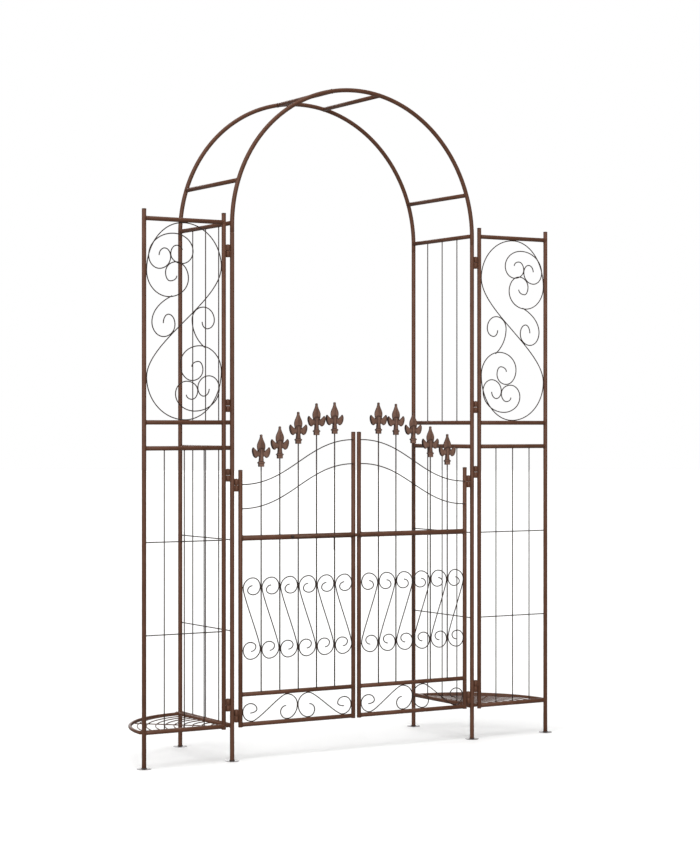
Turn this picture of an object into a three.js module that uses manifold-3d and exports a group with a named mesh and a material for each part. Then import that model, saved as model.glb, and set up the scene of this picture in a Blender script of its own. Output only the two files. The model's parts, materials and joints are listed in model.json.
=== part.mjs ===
// Garden trellis arch: two round hoops on four posts, side ladders, a double gate with a slide bolt,
// a scrolled wing panel on each side and a corner planter shelf behind each wing.
// Millimetres. +X is right, +Y is back, +Z is up, and the origin is on the floor under the middle.
import * as THREE from 'three';
import { mergeVertices } from 'three/addons/utils/BufferGeometryUtils.js';
import Module from 'manifold-3d';

const wasm = await Module();
wasm.setup();

// ---- Driving dimensions: overall ----
const archWidth = 926; // between the left and right arch posts
const archDepth = 364; // between the front and rear arch posts
const springHeight = 1707; // centre of the round hoops
const hoopLeg = 25; // straight end of a hoop, down to the top of its post
const wingWidth = 310; // from an arch post to the wing's outer post
const postCrown = 27; // of a wing's posts above its top rail
const postTail = 10; // of a wing's inner post below its bottom rail

// ---- Driving dimensions: stock and clearances ----
const tubeRadius = 7;
const gateRailRadius = 8.5;
const rimRadius = 5.5;
const picketRadius = 2;
const wireRadius = 1.5;
const footRadius = 23;
const footThickness = 3;
const gap = 0.3; // between two pieces that touch
const weldDepth = 0.5; // how far a welded wire sinks into its neighbour
const tubeSides = 8;
const wireSides = 4;

// ---- Driving dimensions: rails and wires ----
const bottomRailHeight = 112;
const lowerMidHeight = 996;
const upperMidHeight = 1077;
const topRailRise = 5; // of the top rails above the spring line
const crossWireHeights = [413, 703];
const uprightWires = 3;
const lowRungAngle = 18; // degrees above the spring line
const highRungAngle = 78.6;

// ---- Driving dimensions: gate ----
const hingeSpan = 30; // from a post to what hangs on it, where knuckles join the two
const meetingSpan = 22; // between the two meeting stiles
const gateBottomHeight = 113;
const stileTail = 8; // of the stiles below the bottom rail
const hingeStileTop = 923;
const meetingStileTop = 1044;
const gateMidHeight = 708;
const lowPanelRise = 96; // of the panel rail above the bottom rail
const pickets = 5;
const picketForward = 3.5; // of the pickets and their scrolls in front of the leaf's middle plane
const spearRises = [12, 38, 85, 113, 117]; // above the hinge stile, from the hinge side to the middle
const sweepDrops = [[44, 23], [121, 102]]; // of the two swept wires, below the tops of the two stiles
const scrollRowHeight = 450; // middle of the row of S-scrolls
const curlDrop = 103; // from there to the middle of a curl
const curlHalfHeight = 27;
const scrollEase = 24; // how long the diagonal takes to turn upright
const sweepEase = 0.42; // how far the swept wires run on level, as a share of the leaf

// ---- Driving dimensions: hinges and couplers ----
const knuckleHeight = 40;
const knuckleClearance = 0.9; // from a knuckle to the post that it turns beside
const knuckleWall = 3.6;
const pinLength = 16;
const boreClearance = 0.5;
const tabThickness = 9;
const couplerSetbacks = [67, 87, 53, 90]; // from the nearest rail to each coupler, from the bottom up
const gateHingeSetbacks = [37, 46]; // from the bottom and the top of the hinge stile

// ---- Driving dimensions: slide bolt ----
const boltRadius = 3.5;
const boltClearance = 0.7;
const sleeveWall = 1.2;
const boltTravel = 62;
const boltTipClearance = 2; // from the drawn rod's tip to the right stile's side of the meeting gap
const handleRadius = 2;
const handleDrop = 46;
const handleRoom = 32; // from the handle to the keeper when the bolt is thrown
const guideLength = 8;
const guideRoom = 18; // from a guide to the handle or collar that comes up to it
const guideSpacing = 63;
const keeperSpare = 7; // of the keeper beyond the thrown tip

// ---- Driving dimensions: planter shelf ----
const rimSetback = 19; // of the rim's rear end in front of the rear post
const rimTipSetback = 10; // of the rim's front end behind the middle of the wing's outer post
const shelfWireSpacing = 28.6;
const firstWireInset = 22; // from the rim to the outermost wire
const smallestWireReach = 40;

// ---- Driving dimensions: spear finials ----
const spearHeight = 104;
const spearThickness = 7;
const spearSocketDepth = 7;

// ---- Derived places ----
const halfArch = archWidth / 2;
const endGap = tubeRadius + gap; // from a post's centre line to the end of a rail that meets it
const wireReach = 2 * wireRadius - weldDepth; // between the centre lines of two crossed wires
const topRailHeight = springHeight + topRailRise;
const couplerHeights = [
  bottomRailHeight + couplerSetbacks[0],
  lowerMidHeight - couplerSetbacks[1],
  upperMidHeight + couplerSetbacks[2],
  topRailHeight - couplerSetbacks[3],
];
const leafSpan = halfArch - hingeSpan - meetingSpan / 2; // between a leaf's two stiles
const meetingStilePlace = hingeSpan + leafSpan; // from the arch post
// How far a wire that stands in front of a stile's middle has to keep to the side of it.
const besideStile = (forward) => Math.sqrt((tubeRadius + gap + wireRadius) ** 2 - forward ** 2);
const scrollSlack = besideStile(picketForward) - wireRadius + weldDepth - picketRadius;
const picketSpacing = (leafSpan - 2 * scrollSlack) / (pickets + 1);
const firstPicket = hingeSpan + picketSpacing + scrollSlack;
const leafBottom = gateBottomHeight - stileTail;
const panelRailHeight = gateBottomHeight + lowPanelRise;
const spearFeet = spearRises.map((rise) => hingeStileTop + rise);
const gateHingeHeights = [leafBottom + gateHingeSetbacks[0], hingeStileTop - gateHingeSetbacks[1]];
const knuckleRadius = hingeSpan / 2 - tubeRadius - knuckleClearance;
const pinRadius = knuckleRadius - knuckleWall - boreClearance;
const boltBore = boltRadius + boltClearance;
const sleeveRadius = boltBore + sleeveWall;
const boltPlane = -(gateRailRadius + gap + sleeveRadius);
const boltTip = meetingSpan / 2 - tubeRadius - boltTipClearance;
const handleSetback = boltTravel + handleRoom; // from the rod's tip
const firstGuideSetback = handleSetback + guideRoom;
const guideSetbacks = [firstGuideSetback, firstGuideSetback + guideSpacing];
const boltLength = guideSetbacks[1] + boltTravel + guideRoom;
const keeperLength = boltTravel + keeperSpare;
const sideTubePlace = tubeRadius + gap + rimRadius;

// ---- Finishes ----
const brownPaint = { color: 0x6a4a3c, roughness: 0.5, metalness: 0.35 };
const wirePaint = { color: 0x4b4340, roughness: 0.5, metalness: 0.45 };
const castPaint = { color: 0x6f4d3d, roughness: 0.6, metalness: 0.3 };
const boltPaint = { color: 0x3a2c27, roughness: 0.45, metalness: 0.5 };

const point = (x, y, z) => new THREE.Vector3(x, y, z);

// ---- Shapes ----

// A straight round bar between two points.
function bar(from, to, radius = tubeRadius, sides = tubeSides) {
  const run = to.clone().sub(from);
  const shape = new THREE.CylinderGeometry(radius, radius, run.length(), sides);
  const turn = new THREE.Quaternion().setFromUnitVectors(point(0, 1, 0), run.clone().normalize());
  shape.applyQuaternion(turn);
  const middle = from.clone().add(to).multiplyScalar(0.5);
  return shape.translate(middle.x, middle.y, middle.z);
}

function wire(from, to) {
  return bar(from, to, wireRadius, wireSides);
}

function block(centre, size) {
  return new THREE.BoxGeometry(size.x, size.y, size.z).translate(centre.x, centre.y, centre.z);
}

// A path with one step to each of its points, so that a sweep meets every one of them exactly.
class StepPath extends THREE.Curve {
  constructor(points) {
    super();
    this.points = points;
  }

  getPoint(t) {
    const last = this.points.length - 1;
    const place = THREE.MathUtils.clamp(t, 0, 1) * last;
    const index = Math.min(Math.floor(place), last - 1);
    return this.points[index].clone().lerp(this.points[index + 1], place - index);
  }

  getPointAt(t) {
    return this.getPoint(t);
  }

  getTangentAt(t) {
    return this.getTangent(t);
  }
}

// A round bar bent along a list of points.
function bentBar(points, radius = wireRadius, sides = wireSides) {
  const section = new THREE.Shape();
  for (let i = 0; i < sides; i += 1) {
    const angle = (2 * Math.PI * i) / sides;
    const corner = [radius * Math.cos(angle), radius * Math.sin(angle)];
    if (i === 0) section.moveTo(...corner);
    else section.lineTo(...corner);
  }
  const steps = points.length - 1;
  return new THREE.ExtrudeGeometry(section, { steps, extrudePath: new StepPath(points) });
}

// Manifold solids, for joining and cutting.
function solid(shape) {
  const bare = shape.clone();
  bare.deleteAttribute('normal');
  bare.deleteAttribute('uv');
  const merged = mergeVertices(bare);
  return new wasm.Manifold(new wasm.Mesh({
    numProp: 3,
    vertProperties: new Float32Array(merged.attributes.position.array),
    triVerts: new Uint32Array(merged.index.array),
  }));
}

function surface(body) {
  const mesh = body.getMesh();
  const shape = new THREE.BufferGeometry();
  shape.setAttribute('position', new THREE.BufferAttribute(mesh.vertProperties, 3));
  shape.setIndex(new THREE.BufferAttribute(mesh.triVerts, 1));
  shape.computeVertexNormals();
  return shape;
}

function welded(...shapes) {
  return surface(shapes.map(solid).reduce((whole, piece) => whole.add(piece)));
}

function cut(shape, ...tools) {
  return surface(tools.map(solid).reduce((rest, tool) => rest.subtract(tool), solid(shape)));
}

// ---- Scroll lines ----

// Quarter ellipses through the points where a curl runs upright and level in turn. The first one
// can leave out its beginning, so that the line starts at a slant.
function curlLine(points, upright, stepsEach = 2, leftOut = 0) {
  const line = [points[0]];
  for (let i = 1; i < points.length; i += 1) {
    const [x0, z0] = points[i - 1];
    const [x1, z1] = points[i];
    const start = i === 1 ? (Math.PI / 2) * leftOut : 0;
    for (let step = 1; step <= stepsEach; step += 1) {
      const angle = start + (Math.PI / 2 - start) * (step / stepsEach);
      const along = (Math.sin(angle) - Math.sin(start)) / (1 - Math.sin(start));
      const across = 1 - Math.cos(angle) / Math.cos(start);
      const [fx, fz] = upright ? [across, along] : [along, across];
      line.push([x0 + (x1 - x0) * fx, z0 + (z1 - z0) * fz]);
    }
    upright = !upright;
  }
  return line;
}

// The easy bend between two places where the line has the same direction.
function easeLine(from, to, direction, reach, steps) {
  const ends = [from, to].map(([x, z]) => new THREE.Vector2(x, z));
  const lead = new THREE.Vector2(...direction).multiplyScalar(reach);
  const [leadOut, leadIn] = [ends[0].clone().add(lead), ends[1].clone().sub(lead)];
  const bend = new THREE.CubicBezierCurve(ends[0], leadOut, leadIn, ends[1]);
  return bend.getPoints(steps).slice(1, -1).map((p) => [p.x, p.y]);
}

// An S-scroll: a curl, the easy bend, and the same curl turned half round.
function doubleScroll(curl, upright, direction, reach, steps) {
  const tail = curlLine(curl, upright);
  const head = tail.map(([x, z]) => [-x, -z]).reverse();
  return [...head, ...easeLine(head.at(-1), tail[0], direction, reach, steps), ...tail];
}

// Places a flat line of [across, up] pairs with a function that turns them into points.
function placed(line, place) {
  return line.map(([across, up]) => place(across, up));
}

// ---- The model ----

const arch = new THREE.Group();
arch.name = 'trellis_arch';
const frontPlane = new THREE.Group();
frontPlane.position.y = -archDepth / 2;
arch.add(frontPlane);

function addPart(group, name, shape, finish) {
  const mesh = new THREE.Mesh(shape, new THREE.MeshStandardMaterial(finish));
  mesh.name = name;
  group.add(mesh);
}

const sides = { left: -1, right: 1 };

// A post with a round plate welded under it.
function footedPost(height) {
  const plate = new THREE.CylinderGeometry(footRadius, footRadius, footThickness, 16);
  plate.rotateX(Math.PI / 2).translate(0, 0, footThickness / 2);
  return welded(plate, bar(point(0, 0, footThickness / 2), point(0, 0, height)));
}

function addArchPosts() {
  for (const [sideName, side] of Object.entries(sides)) {
    for (const [rowName, y] of Object.entries({ front: 0, rear: archDepth })) {
      const shape = footedPost(springHeight - hoopLeg).translate(side * halfArch, y, 0);
      addPart(frontPlane, `${rowName}_${sideName}_post`, shape, brownPaint);
    }
  }
}

function addHoops() {
  const steps = 24;
  for (const [rowName, y] of Object.entries({ front: 0, rear: archDepth })) {
    const foot = springHeight - hoopLeg + gap;
    const points = [point(halfArch, y, foot)];
    for (let i = 0; i <= steps; i += 1) {
      const angle = (Math.PI * i) / steps;
      points.push(point(halfArch * Math.cos(angle), y, springHeight + halfArch * Math.sin(angle)));
    }
    points.push(point(-halfArch, y, foot));
    addPart(frontPlane, `${rowName}_hoop`, bentBar(points, tubeRadius, tubeSides), brownPaint);
  }
}

function addHoopRungs() {
  for (const [sideName, side] of Object.entries(sides)) {
    for (const [level, degrees] of Object.entries({ low: lowRungAngle, high: highRungAngle })) {
      const angle = THREE.MathUtils.degToRad(degrees);
      const x = side * halfArch * Math.cos(angle);
      const z = springHeight + halfArch * Math.sin(angle);
      const rung = bar(point(x, endGap, z), point(x, archDepth - endGap, z));
      addPart(frontPlane, `${sideName}_${level}_hoop_rung`, rung, brownPaint);
    }
  }
}

// Two rails and upright wires between them, with cross wires where heights are given.
// place turns [distance along the rails, offset from their plane, height] into a point.
function wireScreen(span, low, high, crossHeights, place) {
  const shapes = [low, high].map((z) => bar(place(endGap, 0, z), place(span - endGap, 0, z)));
  for (let i = 1; i <= uprightWires; i += 1) {
    const along = (span * i) / (uprightWires + 1);
    shapes.push(wire(place(along, 0, low), place(along, 0, high)));
  }
  for (const z of crossHeights) {
    shapes.push(wire(place(endGap, wireReach, z), place(span - endGap, wireReach, z)));
  }
  return welded(...shapes);
}

function addLadders() {
  for (const [sideName, side] of Object.entries(sides)) {
    const place = (along, off, z) => point(side * (halfArch - off), along, z);
    const upper = wireScreen(archDepth, upperMidHeight, topRailHeight, [], place);
    const lower = wireScreen(archDepth, bottomRailHeight, lowerMidHeight, crossWireHeights, place);
    addPart(frontPlane, `${sideName}_ladder_upper_screen`, upper, brownPaint);
    addPart(frontPlane, `${sideName}_ladder_lower_screen`, lower, brownPaint);
  }
}

// ---- Wings ----

// Curls of a wing panel, as shares of its half width and half height from its middle.
const mainCurl = [
  [1, -0.57], [-0.02, -1], [-1, -0.5], [-0.42, -0.245], [0.11, -0.437],
  [-0.21, -0.6], [-0.5, -0.49], [-0.38, -0.405], [-0.2, -0.46],
];
const mainCurlEase = 111;
const kidneyCurl = [
  [0.67, 0.66], [0.52, 0.735], [0.365, 0.65], [0.67, 0.527], [0.945, 0.655], [0.28, 0.888],
  [-0.235, 0.714], [0.07, 0.585], [0.36, 0.68], [0.2, 0.768], [0.055, 0.722],
];
const lowerKidneyDrop = 0.023; // the lower kidney lies this much further out than the upper one
const upperSideCurl = [
  [0.335, 0.256], [0.86, -0.015], [0.55, -0.16], [0.235, -0.03], [0.41, 0.067], [0.55, -0.025],
];
const lowerSideCurl = [
  [-0.54, -0.262], [-0.21, 0.02], [-0.52, 0.15], [-0.81, 0.02], [-0.61, -0.07], [-0.48, 0],
];
const sideCurlSlant = 0.45; // share of its first quarter turn that a side curl leaves out

function scrollPanel(span, place) {
  const halfWidth = span / 2 - tubeRadius - gap - wireRadius;
  const halfHeight = (topRailHeight - upperMidHeight) / 2 - tubeRadius - wireRadius + weldDepth;
  const across = hingeSpan + span / 2;
  const middle = (topRailHeight + upperMidHeight) / 2;
  const scaled = (curl) => curl.map(([x, z]) => [x * halfWidth, z * halfHeight]);
  const lowerKidney = kidneyCurl.map(([x, z]) => [-x, -z - lowerKidneyDrop]);
  const bend = (line) => bentBar(placed(line, (x, z) => place(across + x, 0, middle + z)));
  const rails = [upperMidHeight, topRailHeight].map((z) => (
    bar(place(hingeSpan + endGap, 0, z), place(hingeSpan + span - endGap, 0, z))));
  const main = bend(doubleScroll(scaled(mainCurl), true, [0, -1], mainCurlEase, 8));
  const kidneys = [kidneyCurl, lowerKidney].map((curl) => bend(curlLine(scaled(curl), true)));
  const sideCurls = [upperSideCurl, lowerSideCurl].map((curl) => (
    bend(curlLine(scaled(curl), false, 2, sideCurlSlant))));
  return welded(...rails, main, ...kidneys, ...sideCurls);
}

// One knuckle of a hinge or coupler: a round barrel and the tab that joins it to its post.
function knuckle(x, tabEnd, low, high) {
  const middle = (low + high) / 2;
  const tabSize = point(Math.abs(tabEnd - x), tabThickness, high - low);
  const tab = block(point((x + tabEnd) / 2, 0, middle), tabSize);
  return [bar(point(x, 0, low), point(x, 0, high), knuckleRadius), tab];
}

function coupler(side, height) {
  const axis = side * (halfArch + hingeSpan / 2);
  const reach = hingeSpan / 2 - endGap;
  const low = height - knuckleHeight / 2;
  return welded(
    ...knuckle(axis, axis - side * reach, low, height + weldDepth),
    ...knuckle(axis, axis + side * reach, height, low + knuckleHeight),
  );
}

function addWings() {
  const span = wingWidth - hingeSpan;
  for (const [sideName, side] of Object.entries(sides)) {
    const place = (u, off, z) => point(side * (halfArch + u), off, z);
    const top = topRailHeight + postCrown;
    const outer = footedPost(top).translate(side * (halfArch + wingWidth), 0, 0);
    const inner = bar(place(hingeSpan, 0, bottomRailHeight - postTail), place(hingeSpan, 0, top));
    const behind = (along, off, z) => place(hingeSpan + along, off, z);
    const lower = wireScreen(span, bottomRailHeight, lowerMidHeight, crossWireHeights, behind);
    addPart(frontPlane, `${sideName}_wing_outer_post`, outer, brownPaint);
    addPart(frontPlane, `${sideName}_wing_inner_post`, inner, brownPaint);
    addPart(frontPlane, `${sideName}_wing_scroll_panel`, scrollPanel(span, place), wirePaint);
    addPart(frontPlane, `${sideName}_wing_lower_screen`, lower, brownPaint);
    couplerHeights.forEach((height, i) => {
      addPart(frontPlane, `${sideName}_wing_coupler_${i + 1}`, coupler(side, height), brownPaint);
    });
  }
}

// ---- Planter shelves ----

// Part of an ellipse about the arch post, between two lines at a distance from its axes.
function shelfArc(reachX, reachY, nearX, nearY, steps, place) {
  const start = Math.asin(nearY / reachY);
  const end = Math.acos(nearX / reachX);
  const points = [];
  for (let i = 0; i <= steps; i += 1) {
    const angle = start + ((end - start) * i) / steps;
    points.push(place(reachX * Math.cos(angle), reachY * Math.sin(angle)));
  }
  return points;
}

function addShelves() {
  const shelfReach = archDepth - rimSetback;
  const tipReach = wingWidth + Math.sqrt(sideTubePlace ** 2 - rimTipSetback ** 2);
  const rimReach = tipReach / Math.cos(Math.asin(rimTipSetback / shelfReach));
  const wireInset = sideTubePlace + rimRadius + gap + wireRadius;
  for (const [sideName, side] of Object.entries(sides)) {
    const place = (x, y) => point(side * (halfArch + x), y, bottomRailHeight);
    const below = (x, y) => place(x, y).add(point(0, 0, -wireReach));
    const corner = place(sideTubePlace, sideTubePlace);
    const arc = shelfArc(rimReach, shelfReach, sideTubePlace, rimTipSetback, 14, place);
    const rim = welded(
      bentBar(arc, rimRadius, tubeSides),
      bar(corner, place(sideTubePlace, archDepth), rimRadius),
      bar(place(rimReach - weldDepth, sideTubePlace), corner, rimRadius),
    );
    const wires = [];
    const outermost = rimReach - firstWireInset;
    for (let reachX = outermost; reachX > smallestWireReach; reachX -= shelfWireSpacing) {
      const reachY = (reachX * shelfReach) / rimReach;
      wires.push(bentBar(shelfArc(reachX, reachY, wireInset, wireInset, 6, place)));
    }
    const rimAt45 = (rimReach * shelfReach) / Math.hypot(rimReach, shelfReach);
    const spokeEnd = rimAt45 - (rimRadius + gap) / Math.SQRT1_2;
    wires.push(wire(below(wireInset, wireInset), below(spokeEnd, spokeEnd)));
    addPart(frontPlane, `${sideName}_shelf_rim`, rim, brownPaint);
    addPart(frontPlane, `${sideName}_shelf_wires`, welded(...wires), wirePaint);
  }
}

// ---- Gate ----

// The fixed half of a gate hinge: a knuckle on the arch post with a pin that stands up from it.
function addPintles(sideName, side) {
  const axis = side * (halfArch - hingeSpan / 2);
  const postFace = side * (halfArch - endGap);
  gateHingeHeights.forEach((height, i) => {
    const low = height - knuckleHeight / 2;
    const pin = bar(point(axis, 0, height - weldDepth), point(axis, 0, height + pinLength), pinRadius);
    const shape = welded(...knuckle(axis, postFace, low, height), pin);
    addPart(frontPlane, `${sideName}_gate_pintle_${i + 1}`, shape, brownPaint);
  });
}

// The hinge stile with the two bored knuckles that drop over the pins.
function hingeStile(place) {
  const axis = place(hingeSpan / 2, 0, 0).x;
  const stile = bar(place(hingeSpan, 0, leafBottom), place(hingeSpan, 0, hingeStileTop));
  const knuckles = gateHingeHeights.flatMap((height) => (
    knuckle(axis, place(hingeSpan, 0, 0).x, height + gap, height + knuckleHeight / 2)));
  const bores = gateHingeHeights.map((height) => (
    bar(point(axis, 0, height - gap), point(axis, 0, height + knuckleHeight), pinRadius + boreClearance)));
  return cut(welded(stile, ...knuckles), ...bores);
}

const picketPlaces = Array.from({ length: pickets }, (_, i) => firstPicket + i * picketSpacing);

// Curl of the gate's S-scrolls, as shares of its half width and half height from its middle.
const rowCurl = [[1, 0.22], [-0.13, -1], [-1, 0.07], [-0.2, 1], [0.48, 0.48], [-0.08, -0.07]];

function picketScreen(place) {
  const [start, end] = [hingeSpan + endGap, meetingStilePlace - endGap];
  const shapes = [bar(place(start, 0, panelRailHeight), place(end, 0, panelRailHeight))];
  const forward = (u, z) => place(u, -picketForward, z);
  picketPlaces.forEach((u, i) => {
    const top = spearFeet[i] + spearSocketDepth - gap;
    shapes.push(bar(forward(u, panelRailHeight), forward(u, top), picketRadius));
  });
  const curlHalfWidth = picketSpacing / 2 - picketRadius + weldDepth - wireRadius;
  const curl = rowCurl.map(([x, z]) => [x * curlHalfWidth, z * curlHalfHeight - curlDrop]);
  const scroll = doubleScroll(curl, true, [0, -1], scrollEase, 3);
  for (let bay = 0; bay <= pickets; bay += 1) {
    const middle = firstPicket + (bay - 0.5) * picketSpacing;
    shapes.push(bentBar(placed(scroll, (x, z) => forward(middle + x, scrollRowHeight + z))));
  }
  const sweepForward = picketForward + picketRadius + wireRadius - weldDepth;
  for (const [lowDrop, highDrop] of sweepDrops) {
    const from = [hingeSpan + besideStile(sweepForward), hingeStileTop - lowDrop];
    const to = [meetingStilePlace - besideStile(sweepForward), meetingStileTop - highDrop];
    const line = [from, ...easeLine(from, to, [1, 0], leafSpan * sweepEase, 8), to];
    shapes.push(bentBar(placed(line, (u, z) => place(u, -sweepForward, z))));
  }
  return welded(...shapes);
}

// Ring that a bolt runs in, with a foot that reaches back to the rail or stile behind it.
function boltGuide(x, length, footBack) {
  const [start, end] = [-0.5, 0.5].map((share) => point(x + share * length, boltPlane, gateMidHeight));
  const footFront = boltPlane + boltBore;
  const foot = block(
    point(x, (footFront + footBack) / 2, gateMidHeight),
    point(length, footBack - footFront, 1.5 * sleeveRadius),
  );
  return [bar(start, end, sleeveRadius), foot];
}

function boltPassage(x, length) {
  const reach = point(length / 2 + gap, 0, 0);
  const middle = point(x, boltPlane, gateMidHeight);
  return bar(middle.clone().sub(reach), middle.clone().add(reach), boltBore);
}

// The mid rail, bored for the pickets, with the bolt's guides where it carries the bolt.
function gateMidRail(place, guides) {
  const rail = bar(
    place(hingeSpan + endGap, 0, gateMidHeight),
    place(meetingStilePlace - endGap, 0, gateMidHeight),
    gateRailRadius,
  );
  const drill = picketRadius + boreClearance;
  const [under, over] = [-2, 2].map((share) => gateMidHeight + share * gateRailRadius);
  const bores = picketPlaces.map((u) => (
    bar(place(u, -picketForward, under), place(u, -picketForward, over), drill)));
  const footBack = -gateRailRadius * 0.7;
  const rings = guides.flatMap((x) => boltGuide(x, guideLength, footBack));
  return cut(welded(rail, ...rings), ...bores, ...guides.map((x) => boltPassage(x, guideLength)));
}

// The meeting stile, with a bolt guide at the given place if it has one.
function meetingStile(place, guides) {
  const stile = bar(place(meetingStilePlace, 0, leafBottom), place(meetingStilePlace, 0, meetingStileTop));
  const rings = guides.flatMap((x) => boltGuide(x, guideLength, -tubeRadius / 2));
  if (rings.length === 0) return stile;
  return cut(welded(stile, ...rings), ...guides.map((x) => boltPassage(x, guideLength)));
}

// Scroll of the low panel, as shares of half the leaf's clear width and of its clear height.
const smallPanelCurl = [[0.165, 0], [0, 0.39], [0.135, 0.715], [0.255, 0.475], [0.135, 0.335]];
const bigPanelCurl = [[0.8, 1], [1, 0.55], [0.81, 0], [0.69, 0.29], [0.79, 0.53]];
const panelEase = 0.12;

function bottomPanel(place) {
  const middle = hingeSpan + leafSpan / 2;
  const low = gateBottomHeight + tubeRadius + wireRadius - weldDepth;
  const high = panelRailHeight - tubeRadius - wireRadius - gap;
  const halfWidth = leafSpan / 2 - endGap - wireRadius;
  const touching = halfWidth - wireRadius + weldDepth;
  const tail = curlLine(smallPanelCurl, false, 3).reverse();
  const head = curlLine(bigPanelCurl, false, 3);
  const line = [...tail, ...easeLine(tail.at(-1), head[0], [1, 0], panelEase, 5), ...head];
  const scrolls = [-1, 1].map((turn) => bentBar(placed(line, (x, z) => (
    place(middle + turn * (halfWidth - x * touching), 0, low + z * (high - low))))));
  const [start, end] = [hingeSpan + endGap, meetingStilePlace - endGap];
  return welded(bar(place(start, 0, gateBottomHeight), place(end, 0, gateBottomHeight)), ...scrolls);
}

// Flat cast spear: socket, collar, neck, two side leaves, a blade and a knob at its tip.
const spearOutline = [
  [10, 0], [10, 9.5], [13.5, 11], [13.5, 15], [10, 17], [8, 31.5], [13.5, 31.5], [16, 29], [20.5, 28],
  [25.5, 30], [28, 34], [30, 39], [32.3, 44.5], [33, 50], [32.4, 57], [30.8, 61.5], [28.6, 62.4], [26.8, 61],
  [24.2, 56], [19.6, 52.5], [15, 54.5], [14.4, 58], [15.4, 67], [15, 72], [13.4, 77.5], [8, 84.5],
  [4.8, 91.5], [3.6, 97], [4, 100], [3.2, 103], [0, 104],
];

function spear(x, y, foot) {
  const rise = spearHeight / spearOutline.at(-1)[1];
  const right = spearOutline.map(([across, up]) => [across, up * rise]);
  const left = right.slice(0, -1).reverse().map(([across, up]) => [-across, up]);
  const outline = new THREE.Shape([...right, ...left].map(([across, up]) => new THREE.Vector2(across, up)));
  const plate = new THREE.ExtrudeGeometry(outline, { depth: spearThickness, bevelEnabled: false });
  plate.rotateX(Math.PI / 2).translate(x, y + spearThickness / 2, foot);
  const [mouth, end] = [foot - gap, foot + spearSocketDepth].map((z) => point(x, y, z));
  return cut(plate, bar(mouth, end, picketRadius + boreClearance));
}

function addGateLeaf(sideName, side, railGuides, stileGuides) {
  const place = (u, y, z) => point(side * (halfArch - u), y, z);
  const named = (piece) => `${sideName}_gate_${piece}`;
  addPintles(sideName, side);
  addPart(frontPlane, named('hinge_stile'), hingeStile(place), brownPaint);
  addPart(frontPlane, named('meeting_stile'), meetingStile(place, stileGuides), brownPaint);
  addPart(frontPlane, named('mid_rail'), gateMidRail(place, railGuides), brownPaint);
  addPart(frontPlane, named('picket_screen'), picketScreen(place), wirePaint);
  addPart(frontPlane, named('bottom_panel'), bottomPanel(place), brownPaint);
  picketPlaces.forEach((u, i) => {
    const { x, y } = place(u, -picketForward, 0);
    addPart(frontPlane, named(`spear_${i + 1}`), spear(x, y, spearFeet[i]), castPaint);
  });
}

// ---- Slide bolt ----

// The rod with a collar at its far end and a handle that hangs from it. It is drawn back here, with
// its tip in the meeting gap, and slides to the right by boltTravel into the keeper.
function addBolt() {
  const at = (x) => point(x, boltPlane, gateMidHeight);
  const rodEnd = boltTip - boltLength;
  const handle = boltTip - handleSetback;
  const shape = welded(
    bar(at(rodEnd), at(boltTip), boltRadius),
    bar(at(rodEnd), at(rodEnd + guideLength), sleeveRadius),
    bar(point(handle, boltPlane, gateMidHeight - handleDrop), at(handle), handleRadius),
  );
  addPart(frontPlane, 'slide_bolt', shape, boltPaint);
}

function addKeeper() {
  const start = meetingSpan / 2 - tubeRadius + gap;
  const tube = bar(
    point(start, boltPlane, gateMidHeight),
    point(start + keeperLength, boltPlane, gateMidHeight),
    sleeveRadius,
  );
  const passage = boltPassage(start + keeperLength / 2, keeperLength);
  addPart(frontPlane, 'bolt_keeper_sleeve', cut(tube, passage), brownPaint);
}

addArchPosts();
addHoops();
addHoopRungs();
addLadders();
addWings();
addShelves();
addGateLeaf('left', sides.left, guideSetbacks.map((setback) => boltTip - setback), [-meetingSpan / 2]);
addGateLeaf('right', sides.right, [], []);
addBolt();
addKeeper();

export default arch;
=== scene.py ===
# Looks for the garden trellis arch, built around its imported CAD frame. Metres, +Z up, +Y to the back.
import json
import math

import bmesh
import bpy
import numpy as np
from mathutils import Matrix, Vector, noise


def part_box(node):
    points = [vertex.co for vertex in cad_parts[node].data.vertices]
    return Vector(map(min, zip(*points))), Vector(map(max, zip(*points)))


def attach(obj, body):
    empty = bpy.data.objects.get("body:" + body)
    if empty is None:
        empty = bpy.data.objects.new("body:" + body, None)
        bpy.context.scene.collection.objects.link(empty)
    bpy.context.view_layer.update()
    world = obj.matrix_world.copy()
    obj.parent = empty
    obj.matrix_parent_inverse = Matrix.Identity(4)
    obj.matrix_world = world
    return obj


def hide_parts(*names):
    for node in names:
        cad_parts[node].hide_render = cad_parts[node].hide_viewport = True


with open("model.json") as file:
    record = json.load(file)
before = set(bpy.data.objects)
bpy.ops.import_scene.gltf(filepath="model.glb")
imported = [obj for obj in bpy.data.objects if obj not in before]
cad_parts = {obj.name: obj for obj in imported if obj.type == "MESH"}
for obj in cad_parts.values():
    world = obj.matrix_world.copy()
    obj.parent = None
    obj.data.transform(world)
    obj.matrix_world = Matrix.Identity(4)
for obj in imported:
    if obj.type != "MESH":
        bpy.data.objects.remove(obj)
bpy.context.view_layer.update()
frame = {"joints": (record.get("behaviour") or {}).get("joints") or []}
MM = 0.001

# ---- Places and sizes from the frame ----


def low_of(node):
    return Vector(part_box(node)[0])


def high_of(node):
    return Vector(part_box(node)[1])


def middle(node):
    return (low_of(node) + high_of(node)) / 2


def half_size(node):
    return (high_of(node) - low_of(node)) / 2


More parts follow.
